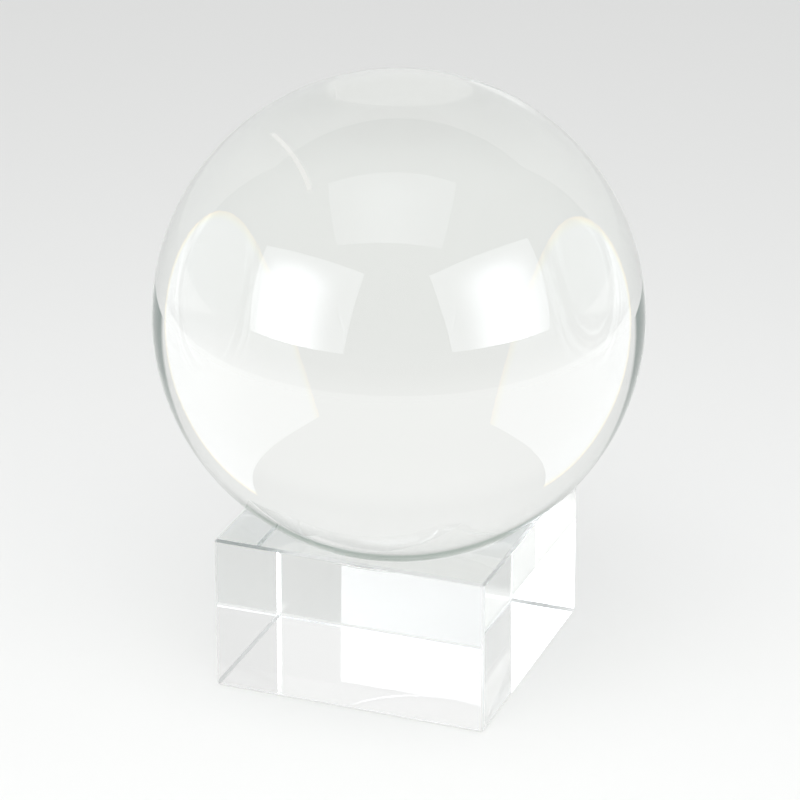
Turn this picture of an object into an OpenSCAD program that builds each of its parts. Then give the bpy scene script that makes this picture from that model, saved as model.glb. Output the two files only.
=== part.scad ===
// Clear glass ball resting loose in the ground seat of a square glass base block.
// Millimetres. +Z is up. The origin is the centre of the base block's underside.
// Two solids: the ball lifts straight up out of its seat, and nothing else moves.

/* [Ball] */
// Diameter of the ball
ball_d = 120; // [90:1:150]

/* [Base block] */
// Side of the square base block
base_side = 70; // [68:1:90]
// Height of the base block
base_h = 40; // [20:1:60]
// Width of each polished edge bevel, measured along the face
bevel = 0.6; // [0.3:0.1:1.2]

/* [Seat] */
// Radius at which the seat would meet the top face with no chamfer
seat_rim_r = 32.5; // [24:0.5:33]
// Air gap between the ball and its seat, the same all over
seat_gap = 0.3; // [0.1:0.05:0.5]
// Depth of the narrow chamfer round the seat's rim
seat_chamfer = 0.2; // [0.1:0.05:0.3]

/* [Hidden] */
ball_r = ball_d / 2;
seat_r = ball_r + seat_gap;
// Height of the ball's centre over the top face
ball_over_top = sqrt(seat_r * seat_r - seat_rim_r * seat_rim_r);
ball_z = base_h + ball_over_top;
// The chamfer is a cone from the seat's own wall to twice its depth outside the rim
chamfer_in_r = sqrt(seat_r * seat_r - pow(ball_over_top + seat_chamfer, 2));
chamfer_out_r = seat_rim_r + 2 * seat_chamfer;
$fn = 128;

// Rectangle centred on the origin with its four corners cut at 45 degrees
module bevelled_outline(w, h) {
    x = w / 2;
    y = h / 2;
    polygon([
        [-x + bevel, -y], [x - bevel, -y], [x, -y + bevel], [x, y - bevel],
        [x - bevel, y], [-x + bevel, y], [-x, y - bevel], [-x, -y + bevel]
    ]);
}

// Block with all twelve edges bevelled: the overlap of one bevelled bar along each axis
module bevelled_block() {
    intersection() {
        linear_extrude(base_h) bevelled_outline(base_side, base_side);
        translate([0, base_side / 2, base_h / 2])
            rotate([90, 0, 0]) linear_extrude(base_side) bevelled_outline(base_side, base_h);
        translate([-base_side / 2, 0, base_h / 2])
            rotate([90, 0, 90]) linear_extrude(base_side) bevelled_outline(base_side, base_h);
    }
}

// Space ground out of the top face: a spherical cup with a chamfered rim
module seat_cut() {
    translate([0, 0, ball_z]) sphere(seat_r);
    translate([0, 0, base_h - seat_chamfer])
        cylinder(r1 = chamfer_in_r, r2 = 2 * chamfer_out_r - chamfer_in_r, h = 2 * seat_chamfer);
}

module base_block() {
    color([0.90, 0.94, 0.93, 0.35])
        difference() {
            bevelled_block();
            seat_cut();
        }
}

module crystal_ball() {
    color([0.88, 0.93, 0.92, 0.35])
        translate([0, 0, ball_z]) sphere(ball_r);
}

base_block();
crystal_ball();
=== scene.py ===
"""A solid glass ball resting loose in the ground seat of a square glass block."""
import math

import bmesh
import bpy
from mathutils import Matrix, Vector


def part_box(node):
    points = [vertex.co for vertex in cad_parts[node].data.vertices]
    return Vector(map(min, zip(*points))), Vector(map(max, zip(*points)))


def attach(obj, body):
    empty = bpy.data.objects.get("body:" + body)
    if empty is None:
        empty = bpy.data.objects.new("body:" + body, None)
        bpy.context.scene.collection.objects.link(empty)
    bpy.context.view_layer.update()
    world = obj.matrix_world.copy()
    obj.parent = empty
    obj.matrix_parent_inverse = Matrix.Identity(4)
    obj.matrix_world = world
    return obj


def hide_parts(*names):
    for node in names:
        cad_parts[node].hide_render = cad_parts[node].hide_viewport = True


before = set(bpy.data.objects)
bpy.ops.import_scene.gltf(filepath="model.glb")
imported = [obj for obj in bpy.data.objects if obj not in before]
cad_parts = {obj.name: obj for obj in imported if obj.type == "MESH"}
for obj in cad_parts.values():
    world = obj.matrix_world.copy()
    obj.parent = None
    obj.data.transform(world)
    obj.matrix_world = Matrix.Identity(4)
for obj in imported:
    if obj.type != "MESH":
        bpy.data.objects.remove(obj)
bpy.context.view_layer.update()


# --- Base block -----------------------------------------------------------------------------
# One piece of clear optical glass, sawn square, then ground and polished on all six faces.
# Narrow flat bevels take the sharpness off its edges, and a shallow round cup with a fine
# chamfer is ground into the top face, where the ball will rest.
block_low, block_high = (Vector(corner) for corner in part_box("base_block"))
ball_low, ball_high = (Vector(corner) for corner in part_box("crystal_ball"))
ball_radius = (ball_high.z - ball_low.z) / 2
ball_height = (ball_high.z + ball_low.z) / 2
bevel = 0.0006
seat_gap = 0.0003
seat_chamfer = 0.0002
seat_radius = ball_radius + seat_gap
seat_turns = 192
seat_steps = 40
glass_index = 1.517
glass_density = 1.3
clean_colour = (1, 1, 1, 1)
dust_colour = (0.78, 0.79, 0.77, 1)
haze_roughness = 0.05
dust_roughness = 0.15
block_tint = (0.83, 0.90, 0.82, 1)
block_waves = 0.000002
block_marks = {"Haze Size": 20, "Wipe Size": 300, "Dust Size": 300, "Wave Size": 16}


def feed(tree, socket, value):
    """Gives the socket a plain value or another node's output."""
    if isinstance(value, bpy.types.NodeSocket):
        tree.links.new(value, socket)
    else:
        socket.default_value = value


def add_node(tree, kind, **values):
    """A node of this kind, with its named inputs fed."""
    node = tree.nodes.new(kind)
    for name, value in values.items():
        feed(tree, node.inputs[name.replace("_", " ")], value)
    return node


def add_math(tree, operation, *values):
    """A math node on one to three values."""
    node = tree.nodes.new("ShaderNodeMath")
    node.operation = operation
    for socket, value in zip(node.inputs, values):
        feed(tree, socket, value)
    return node.outputs[0]


def add_range(tree, value, low, high, out_low=0, out_high=1):
    """A smooth step of the value from low to high, giving out_low to out_high."""
    node = add_node(tree, "ShaderNodeMapRange", Value=value, From_Min=low, From_Max=high,
                    To_Min=out_low, To_Max=out_high)
    node.interpolation_type = "SMOOTHSTEP"
    return node.outputs["Result"]


def add_colour_mix(tree, amount, first, second):
    """The first colour where the amount is 0 and the second where it is 1."""
    node = tree.nodes.new("ShaderNodeMix")
    node.data_type = "RGBA"
    for slot, source in ((0, amount), (6, first), (7, second)):
        feed(tree, node.inputs[slot], source)
    return node.outputs[2]


def blank_material(name):
    """A node material that holds only its output node."""
    material = bpy.data.materials.new(name)
    material.use_nodes = True
    material.node_tree.nodes.clear()
    out = material.node_tree.nodes.new("ShaderNodeOutputMaterial")
    return material, material.node_tree, out


def make_object(name, shape, material):
    """Turns the drawn shape into an object with one material."""
    mesh = bpy.data.meshes.new(name)
    shape.to_mesh(mesh)
    shape.free()
    mesh.materials.append(material)
    made = bpy.data.objects.new(name, mesh)
    bpy.context.collection.objects.link(made)
    return made


def make_surface_marks():
    """Group: what handling leaves on polished glass. Wipe haze, settled dust, slow waves."""
    group = bpy.data.node_groups.new("surface_marks", "ShaderNodeTree")
    for name in ("Haze Size", "Wipe Size", "Dust Size", "Wave Size"):
        group.interface.new_socket(name, in_out="INPUT", socket_type="NodeSocketFloat")
    for name in ("Haze", "Dust", "Waves"):
        group.interface.new_socket(name, in_out="OUTPUT", socket_type="NodeSocketFloat")
    sizes = group.nodes.new("NodeGroupInput").outputs
    marks = group.nodes.new("NodeGroupOutput").inputs
    place = add_node(group, "ShaderNodeTexCoord").outputs["Object"]

    patches = add_node(group, "ShaderNodeTexNoise", Vector=place, Scale=sizes["Haze Size"],
                       Detail=3, Roughness=0.6)
    wipe_way = add_node(group, "ShaderNodeMapping", Vector=place, Rotation=(0.5, 0.9, 0.3),
                        Scale=(0.03, 0.03, 1))
    wipes = add_node(group, "ShaderNodeTexNoise", Vector=wipe_way.outputs["Vector"],
                     Scale=sizes["Wipe Size"], Detail=4, Roughness=0.65, Distortion=0.2)
    patch_mask = add_range(group, patches.outputs[0], 0.45, 0.75)
    wipe_mask = add_range(group, wipes.outputs[0], 0.5, 0.8)
    feed(group, marks["Haze"], add_math(group, "MULTIPLY", patch_mask, wipe_mask))

    grains = add_node(group, "ShaderNodeTexVoronoi", Vector=place, Scale=sizes["Dust Size"],
                      Randomness=1)
    chance = add_node(group, "ShaderNodeSeparateColor", Color=grains.outputs["Color"])
    grain_mask = add_range(group, grains.outputs["Distance"], 0.05, 0.02)
    some_cells = add_math(group, "GREATER_THAN", chance.outputs[0], 0.88)
    feed(group, marks["Dust"], add_math(group, "MULTIPLY", grain_mask, some_cells))

    waves = add_node(group, "ShaderNodeTexNoise", Vector=place, Scale=sizes["Wave Size"],
                     Detail=1, Roughness=0.4)
    feed(group, marks["Waves"], waves.outputs[0])
    return group


surface_marks = make_surface_marks()


def polished_glass(name, tint, marks, wave_height, edge_roughness=0):
    """Clear glass with its own tint in the thickness and surface marks of its own sizes."""
    material, tree, out = blank_material(name)
    worn = tree.nodes.new("ShaderNodeGroup")
    worn.node_tree = surface_marks
    for socket, value in marks.items():
        worn.inputs[socket].default_value = value
    colour = add_colour_mix(tree, worn.outputs["Dust"], clean_colour, dust_colour)
    hazed = add_math(tree, "MULTIPLY", worn.outputs["Haze"], haze_roughness)
    dusty = add_math(tree, "MULTIPLY", worn.outputs["Dust"], dust_roughness)
    finish = add_math(tree, "ADD", hazed, dusty)
    if edge_roughness:
        ground = add_node(tree, "ShaderNodeAttribute")
        ground.attribute_name = "ground_edge"
        edge_finish = add_math(tree, "MULTIPLY", ground.outputs["Fac"], edge_roughness)
        finish = add_math(tree, "ADD", finish, edge_finish)
    swell = add_node(tree, "ShaderNodeBump", Strength=1, Distance=wave_height,
                     Height=worn.outputs["Waves"])
    glass = add_node(tree, "ShaderNodeBsdfPrincipled", IOR=glass_index, Transmission_Weight=1,
                     Base_Color=colour, Roughness=finish, Normal=swell.outputs[0])
    body = add_node(tree, "ShaderNodeVolumeAbsorption", Color=tint, Density=glass_density)
    tree.links.new(glass.outputs[0], out.inputs["Surface"])
    tree.links.new(body.outputs[0], out.inputs["Volume"])
    return material


# The bevels are ground by hand, so they keep a coarser, less even polish than the faces.
block_glass = polished_glass("block_glass", block_tint, block_marks, block_waves, edge_roughness=0.28)
shape = bmesh.new()
bmesh.ops.create_cube(shape, size=1)
bmesh.ops.scale(shape, vec=block_high - block_low, verts=shape.verts)
bmesh.ops.translate(shape, vec=(block_low + block_high) / 2, verts=shape.verts)
bmesh.ops.bevel(shape, geom=shape.edges[:], offset=bevel, segments=1, affect="EDGES", profile=0.5)
ground_edge = shape.faces.layers.float.new("ground_edge")
for face in shape.faces:
    face[ground_edge] = max(abs(value) for value in face.normal) < 0.9
top_face = max(shape.faces, key=lambda face: face.calc_center_median().z)
bmesh.ops.delete(shape, geom=[top_face], context="FACES_ONLY")
outline = [edge for edge in shape.edges if edge.is_boundary]


def seat_ring(radius, height):
    """A ring of points round the cup."""
    angles = [math.tau * turn / seat_turns for turn in range(seat_turns)]
    return [shape.verts.new((radius * math.cos(angle), radius * math.sin(angle), height))
            for angle in angles]


centre_over_top = ball_height - block_high.z
rim_radius = math.sqrt(seat_radius ** 2 - centre_over_top ** 2)
chamfer_foot = math.sqrt(seat_radius ** 2 - (centre_over_top + seat_chamfer) ** 2)
rim = seat_ring(rim_radius + 2 * seat_chamfer, block_high.z)
rim_edges = [shape.edges.new((rim[turn - 1], rim[turn])) for turn in range(seat_turns)]
bmesh.ops.triangle_fill(shape, edges=outline + rim_edges, use_beauty=True, normal=(0, 0, 1))
rings = [rim, seat_ring(chamfer_foot, block_high.z - seat_chamfer)]
cup_angle = math.asin(chamfer_foot / seat_radius)
for step in range(1, seat_steps):
    lean = cup_angle * (1 - step / seat_steps)
    rings.append(seat_ring(seat_radius * math.sin(lean), ball_height - seat_radius * math.cos(lean)))
for outer, inner in zip(rings, rings[1:]):
    for turn in range(seat_turns):
        shape.faces.new((outer[turn - 1], outer[turn], inner[turn], inner[turn - 1]))
cup_floor = shape.verts.new((0, 0, ball_height - seat_radius))
for turn in range(seat_turns):
    shape.faces.new((rings[-1][turn - 1], rings[-1][turn], cup_floor))
bmesh.ops.recalc_face_normals(shape, faces=shape.faces[:])
for edge in shape.edges:
    edge.smooth = edge.calc_face_angle(0) < math.radians(10)
for face in shape.faces:
    face.smooth = True
block = make_object("glass_block", shape, block_glass)
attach(block, "base")
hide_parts("base_block")


# --- Ball -----------------------------------------------------------------------------------
# A solid ball of the same clear glass, ground round in cups and polished all over.
# Nothing fixes it: it lies in the block's seat and lifts out by hand.
ball_tint = (0.82, 0.90, 0.74, 1)
ball_waves = 0.000001
ball_marks = {"Haze Size": 12, "Wipe Size": 220, "Dust Size": 240, "Wave Size": 14}
ball_glass = polished_glass("ball_glass", ball_tint, ball_marks, ball_waves)
shape = bmesh.new()
bmesh.ops.create_icosphere(shape, subdivisions=6, radius=ball_radius)
bmesh.ops.translate(shape, verts=shape.verts, vec=(0, 0, ball_height))
for face in shape.faces:
    face.smooth = True
ball = make_object("glass_ball", shape, ball_glass)
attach(ball, "ball")
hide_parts("crystal_ball")


# --- Table ----------------------------------------------------------------------------------
# A round table covered with matt white paper, which runs on into a pale backdrop behind it.
# The paper lies a hair below the block, so that the block's polished underside still mirrors.
camera_turn = math.radians(20.735)
backdrop_tone = 0.93
far_tone = 0.80
mirrored_paper_tone = 0.77
mirrored_room_tone = 0.15
white_paper = (0.80, 0.806, 0.80, 1)
paper_shaded_under_lamp = (0.70, 0.705, 0.70, 1)
shade_away, shade_depth = 0.090, 0.045
strip_strength = 0.40
paper_gap = 0.0002
table_radius = 0.425
paper_reach = 6
paper_sides = 64


def stage_point(right, away, up):
    """A place on the stage: right and away as the camera looks, and up from the table."""
    across = Vector((math.cos(camera_turn), math.sin(camera_turn), 0)) * right
    ahead = Vector((-math.sin(camera_turn), math.cos(camera_turn), 0)) * away
    return across + ahead + Vector((0, 0, up))


def stage_object(name, corners, material):
    """A flat stage piece through the corners. It is not part of the object."""
    outline = bmesh.new()
    outline.faces.new([outline.verts.new(corner) for corner in corners])
    made = make_object(name, outline, material)
    return made


def add_measure(tree, operation, place, other=(0, 0, 0)):
    """One number from a place and another vector: their dot product, distance or length."""
    node = tree.nodes.new("ShaderNodeVectorMath")
    node.operation = operation
    tree.links.new(place, node.inputs[0])
    node.inputs[1].default_value = other
    return node.outputs["Value"]


def add_glow(tree, tone):
    """Light of one even grey tone."""
    return add_node(tree, "ShaderNodeEmission", Color=(tone, tone, tone, 1)).outputs[0]


def add_choice(tree, amount, first, second):
    """The first shader where the amount is 0 and the second where it is 1."""
    node = tree.nodes.new("ShaderNodeMixShader")
    for slot, source in enumerate((amount, first, second)):
        tree.links.new(source, node.inputs[slot])
    return node.outputs[0]


table_paper, tree, out = blank_material("table_paper")
light_path = add_node(tree, "ShaderNodeLightPath").outputs
place = add_node(tree, "ShaderNodeTexCoord").outputs["Object"]
ahead = add_measure(tree, "DOT_PRODUCT", place, stage_point(0, 1, 0))
reach = add_measure(tree, "LENGTH", place)
# Painted shade: the paper is painted darker towards the front, under the lamp, where the lamp lights
# it most.
under_lamp = add_range(tree, ahead, -0.12, -0.34)
lit_colour = add_colour_mix(tree, under_lamp, white_paper, paper_shaded_under_lamp)
# Painted shadow: the paper close behind the block is painted a little darker, where the ball shades
# it.
from_shade = add_measure(tree, "DISTANCE", place, stage_point(0, shade_away, 0))
shaded = add_range(tree, from_shade, 0.05, 0.02, 0, shade_depth)
paper_colour = add_colour_mix(tree, shaded, lit_colour, (0, 0, 0, 1))
paper = add_node(tree, "ShaderNodeBsdfDiffuse", Color=paper_colour)
# Far off, and seen through the glass, the paper has run on into the backdrop.
far_fade = add_range(tree, reach, 0.55, 0.95)
far_paper = add_choice(tree, far_fade, paper.outputs[0], add_glow(tree, far_tone))
through_fade = add_range(tree, reach, 0.12, 0.42)
through_glass = add_math(tree, "MULTIPLY", through_fade, light_path["Is Transmission Ray"])
paper_and_backdrop = add_choice(tree, through_glass, far_paper, add_glow(tree, backdrop_tone))
# Mirrored in the glass, the paper is dimmer, and the floor in front of the table is dark.
mirrored = add_math(tree, "GREATER_THAN", light_path["Glossy Depth"], 0.5)
mirrored_fade = add_range(tree, reach, 0.06, 0.15)
paper_mirrored = add_math(tree, "MULTIPLY", mirrored, mirrored_fade)
near_floor = add_choice(tree, paper_mirrored, paper_and_backdrop, add_glow(tree, mirrored_paper_tone))
off_table = add_range(tree, reach, table_radius - 0.004, table_radius + 0.004)
in_front = add_range(tree, ahead, 0.32, 0.2)
dark_floor = add_math(tree, "MULTIPLY", off_table, in_front)
room_mirrored = add_math(tree, "MULTIPLY", mirrored, dark_floor)
whole_floor = add_choice(tree, room_mirrored, near_floor, add_glow(tree, mirrored_room_tone))
# Painted light: a bright strip glows on the paper along the block's left side, where the block throws
# light, and only rays through the glass meet it.
split = add_node(tree, "ShaderNodeSeparateXYZ", Vector=place).outputs
beside_block = add_range(tree, split["X"], block_low.x + 0.0005, block_low.x - 0.0015)
strip_end = add_range(tree, split["X"], block_low.x - 0.030, block_low.x - 0.012)
strip_front = add_range(tree, split["Y"], block_low.y + 0.001, block_low.y + 0.011)
strip_back = add_range(tree, split["Y"], block_high.y + 0.009, block_high.y - 0.001)
strip_width = add_math(tree, "MULTIPLY", beside_block, strip_end)
strip_length = add_math(tree, "MULTIPLY", strip_front, strip_back)
strip = add_math(tree, "MULTIPLY", strip_width, strip_length)
strip_seen = add_math(tree, "MULTIPLY", strip, light_path["Is Transmission Ray"])
strip_light = add_math(tree, "MULTIPLY", strip_seen, strip_strength)
strip_glow = add_node(tree, "ShaderNodeEmission", Strength=strip_light)
floor_and_strip = tree.nodes.new("ShaderNodeAddShader")
tree.links.new(whole_floor, floor_and_strip.inputs[0])
tree.links.new(strip_glow.outputs[0], floor_and_strip.inputs[1])
tree.links.new(floor_and_strip.outputs[0], out.inputs["Surface"])
turns = [math.tau * side / paper_sides for side in range(paper_sides)]
paper_edge = [(paper_reach * math.cos(turn), paper_reach * math.sin(turn), 0) for turn in turns]
table = stage_object("table_top", paper_edge, table_paper)
table.location.z = -paper_gap


# --- Soft boxes -----------------------------------------------------------------------------
# Three white cloth soft boxes: one each side in front, and one overhead. The glass shows them
# as bright panels, strongest down the middle, where the lamp stands behind the cloth.
daylight = (0.96, 0.98, 1.04, 1)
dim_room = 0.80
brightest_through_glass = 0.97
lamp_shift = 0.05
seam_place, seam_half_width = 0.279, 0.028
creases_across, creases_along = 110, 9
fringe_width = 0.016
rim_colour = (1, 0.60, 0.20, 1)
fringe_colours = ((0.3, (1, 0.86, 0.40, 1)), (0.6, (1, 1, 0.72, 1)))


def add_value_mix(tree, amount, first, second):
    """The first value where the amount is 0 and the second where it is 1."""
    node = tree.nodes.new("ShaderNodeMix")
    for slot, source in ((0, amount), (2, first), (3, second)):
        feed(tree, node.inputs[slot], source)
    return node.outputs[0]


def cloth_light(tree, across, upward, width, height, edge, middle, inner):
    """How bright the cloth is: brightest before the lamp, creased along a seam."""
    from_lamp = add_math(tree, "ABSOLUTE", add_math(tree, "ADD", across, inner * lamp_shift))
    band = add_range(tree, from_lamp, 0, width * 0.46, 1, 0)
    below_top = add_range(tree, upward, height * 0.5, height * 0.12)
    lamp_glow = add_math(tree, "MULTIPLY", band, below_top)
    even_glow = add_math(tree, "MULTIPLY_ADD", lamp_glow, middle - edge, edge)
    # The seam crosses the cloth towards its lower inner corner.
    inward = add_math(tree, "MULTIPLY", across, inner)
    across_seam = add_math(tree, "MULTIPLY_ADD", upward, 0.5, inward)
    from_seam = add_math(tree, "ABSOLUTE", add_math(tree, "SUBTRACT", across_seam, seam_place))
    seam = add_range(tree, from_seam, seam_half_width, seam_half_width / 2)
    seam_end = add_range(tree, upward, 0.09, 0.02)
    crease_x = add_math(tree, "MULTIPLY", across_seam, creases_across)
    crease_y = add_math(tree, "MULTIPLY", upward, creases_along)
    crease_place = add_node(tree, "ShaderNodeCombineXYZ", X=crease_x, Y=crease_y)
    creases = add_node(tree, "ShaderNodeTexNoise", Vector=crease_place.outputs[0], Scale=1, Detail=2,
                       Roughness=0.5, Distortion=0.3)
    crease_glow = add_range(tree, creases.outputs[0], 0.40, 0.62, -0.5, 0.7)
    creased = add_math(tree, "MULTIPLY", crease_glow, add_math(tree, "MULTIPLY", seam, seam_end))
    return add_math(tree, "ADD", even_glow, creased)


def fringed_colour(tree, across, through_glass, width, inner):
    """Daylight, with a coloured fringe painted on the panel's inner rim and shown only through the
    glass, in place of the fringe that thick glass gives.
    """
    from_rim = add_math(tree, "MULTIPLY_ADD", across, -inner / fringe_width, width / 2 / fringe_width)
    fringe = add_node(tree, "ShaderNodeValToRGB", Fac=from_rim)
    ramp = fringe.color_ramp.elements
    ramp[1].color = daylight
    ramp[0].color = rim_colour
    for position, colour in fringe_colours:
        ramp.new(position).color = colour
    return add_colour_mix(tree, through_glass, daylight, fringe.outputs[0])


def softbox(name, centre, turn, lean, roll, width, height, edge, middle, inner=0):
    """A panel that glows from edge to middle strength; inner is its fringed side, 0 for none."""
    material, tree, out = blank_material(name)
    place = add_node(tree, "ShaderNodeTexCoord").outputs["Object"]
    split = add_node(tree, "ShaderNodeSeparateXYZ", Vector=place).outputs
    strength = cloth_light(tree, split["X"], split["Y"], width, height, edge, middle, inner)
    light_path = add_node(tree, "ShaderNodeLightPath").outputs
    after_paper = add_math(tree, "GREATER_THAN", light_path["Diffuse Depth"], 0.5)
    mirrored = add_math(tree, "GREATER_THAN", light_path["Glossy Depth"], 0.5)
    seen_through = add_math(tree, "MINIMUM", strength, brightest_through_glass)
    seen_cloth = add_value_mix(tree, mirrored, seen_through, strength)
    calmed = add_value_mix(tree, after_paper, seen_cloth, dim_room)
    colour = daylight
    if inner:
        colour = fringed_colour(tree, split["X"], light_path["Is Transmission Ray"], width, inner)
    glow = add_node(tree, "ShaderNodeEmission", Color=colour, Strength=calmed)
    tree.links.new(glow.outputs[0], out.inputs["Surface"])

    corners = [(x * width / 2, y * height / 2, 0) for x, y in ((-1, -1), (1, -1), (1, 1), (-1, 1))]
    panel = stage_object(name, corners, material)
    turn, lean, roll = (math.radians(angle) for angle in (turn, lean, roll))
    level_reach = math.cos(lean)
    facing = stage_point(math.sin(turn) * level_reach, math.cos(turn) * level_reach, -math.sin(lean))
    level = stage_point(math.cos(turn), -math.sin(turn), 0)
    across = level * math.cos(roll) + level.cross(facing) * math.sin(roll)
    upward = across.cross(facing)
    axes = Matrix((across, upward, across.cross(upward))).transposed()
    panel.matrix_world = Matrix.Translation(stage_point(*centre)) @ axes.to_4x4()
    panel.visible_camera = False
    panel.visible_shadow = False
    panel.visible_diffuse = False


softbox("left_softbox", (-0.558, -0.465, 0.367), 39.2, 29.1, 1.5, 0.714, 0.516, 2.0, 9.5, inner=1)
softbox("right_softbox", (0.531, -0.474, 0.379), -48.0, 28.7, -3.4, 0.732, 0.528, 2.0, 8, inner=-1)
softbox("top_softbox", (-0.06, -0.258, 0.829), -14.8, 79.7, -17.5, 0.702, 0.486, 1.1, 1.7)


# --- Lamps ----------------------------------------------------------------------------------
# The overhead soft box lights the table. Most of its light also comes through the clear glass,
# so only a small share of it casts the shadow of the block and the ball.
lamp_size = (0.70, 0.49)
lamp_place = stage_point(0, -0.35, 0.70)


def table_lamp(name, power, shadow):
    """Soft light from the place of the overhead soft box, unseen in the glass."""
    data = bpy.data.lights.new(name, "AREA")
    data.shape = "RECTANGLE"
    data.size, data.size_y = lamp_size
    data.energy = power
    data.use_shadow = shadow
    lamp = bpy.data.objects.new(name, data)
    lamp.location = lamp_place
    lamp.visible_camera = False
    lamp.visible_glossy = False
    lamp.visible_transmission = False
    bpy.context.collection.objects.link(lamp)


table_lamp("table_light", 3.28, shadow=False)
table_lamp("shadow_light", 0.25, shadow=True)


# --- Cards ----------------------------------------------------------------------------------
# The rest of the room, which only the glass shows: a pale backdrop, and dark cloth on either side of
# the table.
# The camera and the paper never meet the cloth, so the dark outline it draws round the ball is
# painted shade in the glass alone.
backdrop_away, backdrop_side, backdrop_top = 1, 1.5, 1.6
backdrop_colour = (0.88, 0.88, 0.88, 1)
flag_side, flag_near, flag_far, flag_top = 0.372, 0.06, 0.24, 0.36
flag_end_fade, flag_top_fade = 0.6, 0.7
flag_colour = (0.12, 0.18, 0.16, 1)


def cloth_mask(tree, place, near, far, top):
    """Where dark cloth is met: whole in its middle, fading out at its ends and top."""
    ahead = add_measure(tree, "DOT_PRODUCT", place, stage_point(0, 1, 0))
    from_middle = add_math(tree, "ABSOLUTE", add_math(tree, "SUBTRACT", ahead, (near + far) / 2))
    half_length = (far - near) / 2
    side_edge = add_range(tree, from_middle, half_length, half_length * flag_end_fade)
    height = add_node(tree, "ShaderNodeSeparateXYZ", Vector=place).outputs["Z"]
    top_edge = add_range(tree, height, top, top * flag_top_fade)
    return add_math(tree, "MULTIPLY", side_edge, top_edge)


def stage_card(name, corners, colour, mirrored, cloth_span=None):
    """A card met by rays that the glass has mirrored, or by rays that only passed through it.

    Its glow falls off a little towards the sides of the stage.
    """
    material, tree, out = blank_material(name)
    light_path = add_node(tree, "ShaderNodeLightPath").outputs
    place = add_node(tree, "ShaderNodeTexCoord").outputs["Object"]
    compare = "GREATER_THAN" if mirrored else "LESS_THAN"
    right_ray = add_math(tree, compare, light_path["Glossy Depth"], 0.5)
    before_paper = add_math(tree, "LESS_THAN", light_path["Diffuse Depth"], 0.5)
    met = add_math(tree, "MULTIPLY", right_ray, before_paper)
    if cloth_span:
        met = add_math(tree, "MULTIPLY", met, cloth_mask(tree, place, *cloth_span))
    rightward = add_measure(tree, "DOT_PRODUCT", place, stage_point(1, 0, 0))
    off_centre = add_math(tree, "ABSOLUTE", rightward)
    falls_off = add_range(tree, off_centre, 0.1, 1.3, 1.05, 0.92)
    cloth = add_node(tree, "ShaderNodeEmission", Color=colour, Strength=falls_off)
    clear = add_node(tree, "ShaderNodeBsdfTransparent")
    card_or_air = add_choice(tree, met, clear.outputs[0], cloth.outputs[0])
    tree.links.new(card_or_air, out.inputs["Surface"])
    card = stage_object(name, [stage_point(*corner) for corner in corners], material)
    card.visible_camera = False
    card.visible_shadow = False
    card.visible_diffuse = False


def upright(start, end, top):
    """The corners of a card that stands on the table from start to end."""
    return [(*start, 0), (*end, 0), (*end, top), (*start, top)]


backdrop_ends = ((-backdrop_side, backdrop_away), (backdrop_side, backdrop_away))
stage_card("backdrop", upright(*backdrop_ends, backdrop_top), backdrop_colour, mirrored=True)
for side in (-flag_side, flag_side):
    stage_card("side_flag", upright((side, flag_near), (side, flag_far), flag_top), flag_colour,
               mirrored=False, cloth_span=(flag_near, flag_far, flag_top))
# Painted light: a thin curved glowing card on the paper behind the ball, which only the glass shows,
# stands in for the line of light that the ball draws there.
line_start, line_length = 0.089, 0.048
line_side, line_sweep, line_bend = 0.0220, 0.0125, 1.4
line_half_width = 0.0007
line_colour = (0.88, 0.87, 0.86, 1)
line_steps = 8
light_line = []
for step in range(line_steps + 1):
    along = step / line_steps
    right = line_side + line_sweep * (1 - along) ** line_bend
    light_line.append((right, line_start + line_length * along))
line_corners = [(right + line_half_width, away, 0) for right, away in light_line]
line_corners += [(right - line_half_width, away, 0) for right, away in reversed(light_line)]
stage_card("light_line", line_corners, line_colour, mirrored=False)


# --- Room -----------------------------------------------------------------------------------
# An even pale light all round. The glass shows it as a backdrop that brightens a little above
# the table and ends in a dim ceiling, and the polished faces mirror the dark of the room.
tones_by_height = ((0.12, 0.90), (0.37, 0.95), (0.50, 0.93), (0.58, 0.70))
ceiling_edge_height, ceiling_edge = 0.66, (0.11, 0.20, 0.15, 1)
ceiling = (0.05, 0.15, 0.10, 1)
mirrored_dark = (0.28, 0.31, 0.31, 1)
world = bpy.data.worlds.new("studio")
bpy.context.scene.world = world
world.use_nodes = True
tree = world.node_tree
tree.nodes.clear()
out = tree.nodes.new("ShaderNodeOutputWorld")
light_path = add_node(tree, "ShaderNodeLightPath").outputs
way = add_node(tree, "ShaderNodeTexCoord").outputs["Generated"]
upward = add_node(tree, "ShaderNodeSeparateXYZ", Vector=way).outputs["Z"]
ahead = add_measure(tree, "DOT_PRODUCT", way, stage_point(0, 1, 0))
backdrop_lift = add_range(tree, ahead, 0.50, 0.75, 0, 0.17)
height = add_math(tree, "SUBTRACT", upward, backdrop_lift)
height_tones = add_node(tree, "ShaderNodeValToRGB", Fac=height)
ramp = height_tones.color_ramp.elements
ramp[1].color = ceiling
ramp[0].color = (backdrop_tone, backdrop_tone, backdrop_tone, 1)
for position, tone in tones_by_height:
    ramp.new(position).color = (tone, tone, tone, 1)
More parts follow.
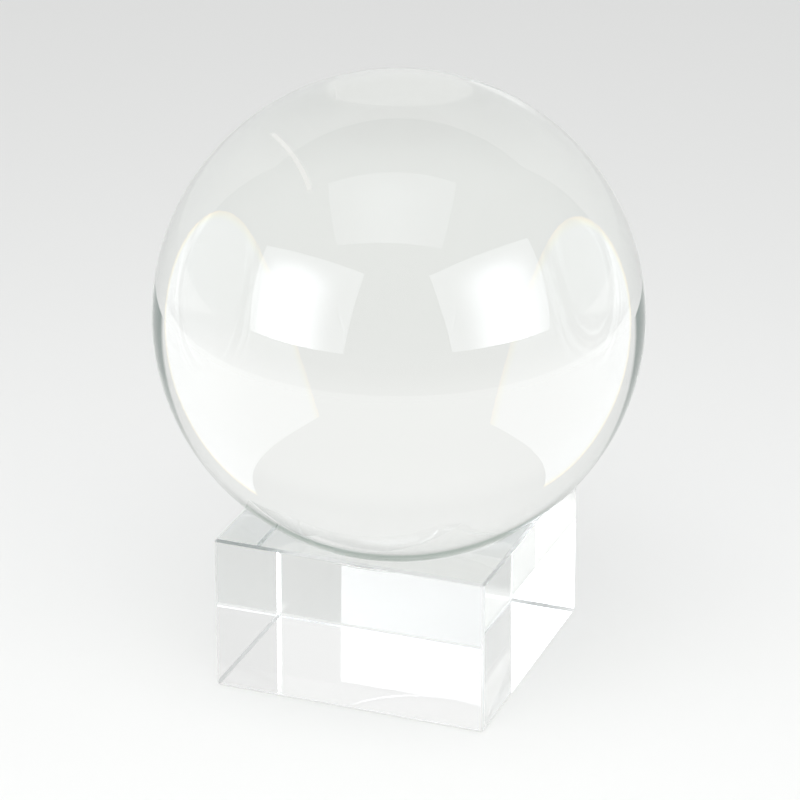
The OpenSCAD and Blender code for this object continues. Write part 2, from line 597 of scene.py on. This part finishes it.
ramp.new(ceiling_edge_height).color = ceiling_edge
looked_past = add_colour_mix(tree, light_path["Is Camera Ray"], height_tones.outputs[0],
                             (far_tone, far_tone, far_tone, 1))
mirrored = add_math(tree, "GREATER_THAN", light_path["Glossy Depth"], 0.5)
seen_colour = add_colour_mix(tree, mirrored, looked_past, mirrored_dark)
seen = add_node(tree, "ShaderNodeBackground", Color=seen_colour)
lit = add_node(tree, "ShaderNodeBackground", Color=(dim_room, dim_room, dim_room, 1))
by_camera = add_math(tree, "MAXIMUM", light_path["Is Camera Ray"], light_path["Is Glossy Ray"])
by_glass = add_math(tree, "MAXIMUM", by_camera, light_path["Is Transmission Ray"])
before_paper = add_math(tree, "LESS_THAN", light_path["Diffuse Depth"], 0.5)
looked_at = add_math(tree, "MULTIPLY", by_glass, before_paper)
whole_room = add_choice(tree, looked_at, lit.outputs[0], seen.outputs[0])
tree.links.new(whole_room, out.inputs["Surface"])


# --- Camera ---------------------------------------------------------------------------------
# A long lens nearly a metre away, turned some twenty degrees from square to the block's front
# and looking down on the ball, so that the block shows its top face and two sides.
camera_rise = math.radians(23.90)
camera_distance = 0.966
camera_slide = 0.00028
camera_drop = -0.0207
to_camera = stage_point(0, -math.cos(camera_rise), math.sin(camera_rise))
rightward = stage_point(1, 0, 0)
upward = to_camera.cross(rightward)
camera_data = bpy.data.cameras.new("camera")
camera_data.lens = 178.85
camera_data.sensor_width = 36
camera_data.clip_start = 0.05
camera = bpy.data.objects.new("camera", camera_data)
camera.location = Vector((0, 0, ball_height)) + to_camera * camera_distance
camera.location += rightward * camera_slide + upward * camera_drop
camera.rotation_euler = to_camera.to_track_quat("Z", "Y").to_euler()
bpy.context.collection.objects.link(camera)
scene = bpy.context.scene
scene.camera = camera
scene.view_settings.view_transform = "Standard"
scene.cycles.max_bounces = 24
scene.cycles.transmission_bounces = 24
scene.cycles.glossy_bounces = 12
scene.cycles.transparent_max_bounces = 12
scene.cycles.blur_glossy = 0
scene.cycles.use_denoising = True
